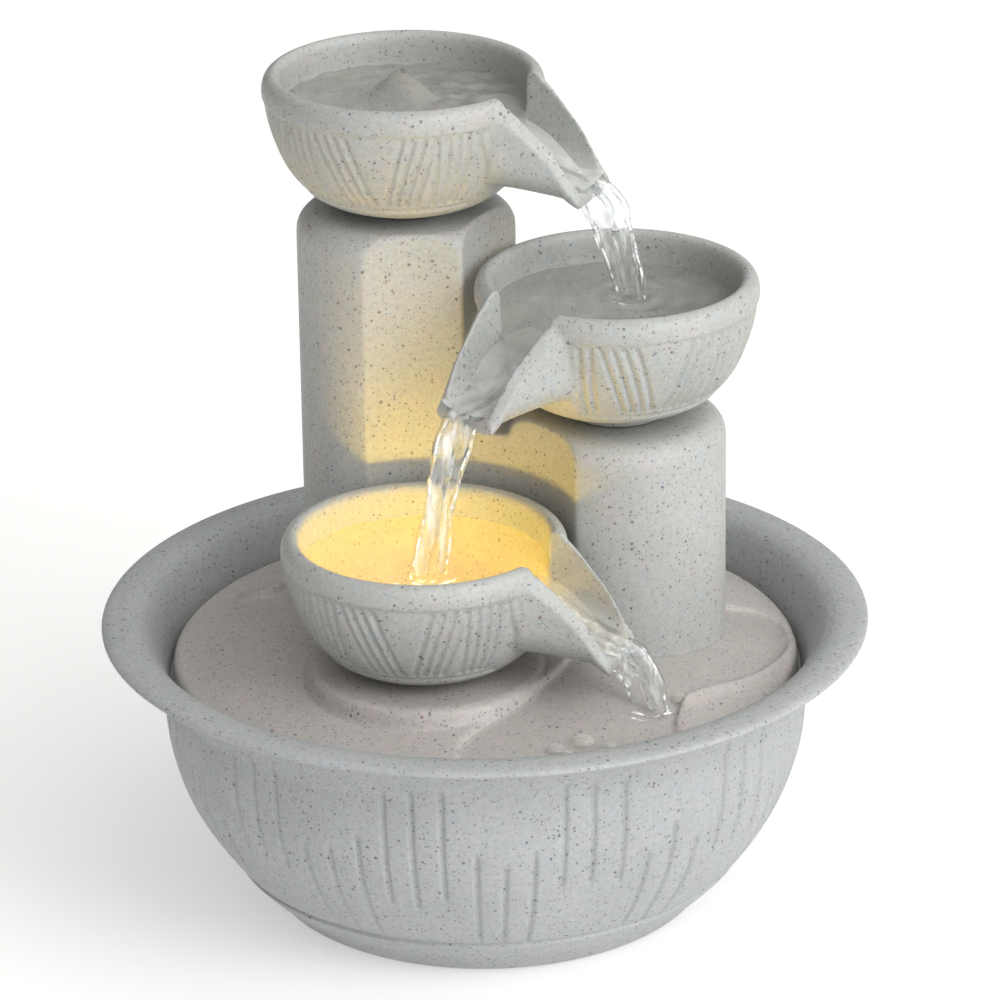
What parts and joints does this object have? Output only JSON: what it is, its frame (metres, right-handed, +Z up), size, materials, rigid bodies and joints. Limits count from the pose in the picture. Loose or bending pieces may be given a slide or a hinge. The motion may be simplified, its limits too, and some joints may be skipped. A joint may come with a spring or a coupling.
{
  "type": "tabletop water fountain",
  "caption": "Tabletop fountain with a flared basin, joined columns and spouted bowls in tiers that pour into one another, with a pump in the base and a warm lamp in the lower bowl",
  "frame": {"origin": "the middle of the circle that the four foot pads stand on, on the surface under the basin and on the basin's own axis", "axes": "+Z up, -Y to the front, where the lower bowl is; +X to the right seen from the front, where the short column is"},
  "size_m": [0.2, 0.2, 0.2139],
  "materials": {
    "basin_plastic": "pale cool grey moulding with fine dark specks, satin matte",
    "deck_plastic": "pale warm grey moulding with fine dark specks, satin matte",
    "column_plastic": "pale grey moulding with fine dark specks, satin matte",
    "bowl_plastic": "pale grey moulding with fine dark specks and carved line groups, satin matte",
    "black_plastic": "black moulded plastic, fine texture",
    "black_rubber": "soft black rubber, matte",
    "clear_hose": "milky clear PVC tube, glossy",
    "ceramic_shaft": "ground white ceramic, smooth",
    "rotor_ferrite": "dark sintered ferrite, dull",
    "stator_steel": "laminated electrical steel",
    "coil_copper": "enamelled copper winding, glossy",
    "filter_sponge": "open black foam, very matte",
    "screw_steel": "plain steel, satin",
    "lens_amber": "translucent amber dome, glossy, lit from behind",
    "board_white": "white solder mask",
    "led_chip": "yellow phosphor under clear resin"
  },
  "bodies": {
    "base": {"basin": "basin_plastic", "cable_grommet": "black_rubber", "foot_pad_1": "black_rubber", "foot_pad_2": "black_rubber", "foot_pad_3": "black_rubber", "foot_pad_4": "black_rubber", "pump_body": "black_plastic", "stator_core": "stator_steel", "stator_coil_left": "coil_copper", "stator_coil_right": "coil_copper", "motor_cover": "black_plastic", "impeller_shaft": "ceramic_shaft", "shaft_bush_rear": "black_rubber", "shaft_bush_front": "black_rubber", "volute_plate": "black_plastic", "suction_cup_1": "black_rubber", "suction_cup_2": "black_rubber", "suction_cup_3": "black_rubber", "suction_cup_4": "black_rubber"},
    "rotor": {"rotor_magnet": "rotor_ferrite", "impeller": "black_plastic"},
    "intake": {"intake_cover": "black_plastic", "filter_sponge": "filter_sponge"},
    "dial": {"flow_dial": "black_plastic"},
    "deck": {"deck_plate": "deck_plastic", "column_shell": "column_plastic", "riser_hose": "clear_hose", "column_screw_1": "screw_steel", "column_screw_2": "screw_steel", "column_screw_3": "screw_steel"},
    "top": {"top_bowl": "bowl_plastic", "top_outlet_nozzle": "black_plastic", "top_outlet_seal": "black_rubber", "top_outlet_nut": "black_plastic"},
    "middle": {"middle_bowl": "bowl_plastic"},
    "lower": {"lower_bowl": "bowl_plastic", "lamp_housing": "black_plastic", "lamp_lens": "lens_amber", "lamp_board": "board_white", "lamp_spacer": "black_plastic", "lamp_led_1": "led_chip", "lamp_led_2": "led_chip", "lamp_led_3": "led_chip", "lamp_nut": "black_plastic", "lamp_gland": "black_rubber"}
  },
  "joints": [
    {"name": "impeller_spin", "type": "hinge", "parent": "base", "child": "rotor", "pos_m": [-0.019, 0.013, 0.0255], "axis": [0, 1, 0], "continuous": true},
    {"name": "intake_cover_slide", "type": "slide", "parent": "base", "child": "intake", "axis": [0, -1, 0], "range_m": [0, 0.02]},
    {"name": "flow_dial_turn", "type": "hinge", "parent": "intake", "child": "dial", "pos_m": [-0.019, -0.013, 0.0255], "axis": [0, 1, 0], "range_deg": [0, 90]},
    {"name": "deck_lift", "type": "slide", "parent": "base", "child": "deck", "axis": [0, 0, 1], "range_m": [0, 0.08]},
    {"name": "top_bowl_lift", "type": "slide", "parent": "deck", "child": "top", "axis": [0, 0, 1], "range_m": [0, 0.04]},
    {"name": "middle_bowl_lift", "type": "slide", "parent": "deck", "child": "middle", "axis": [0, 0, 1], "range_m": [0, 0.012]},
    {"name": "lower_bowl_lift", "type": "slide", "parent": "deck", "child": "lower", "axis": [0, 0, 1], "range_m": [0, 0.02]}
  ]
}
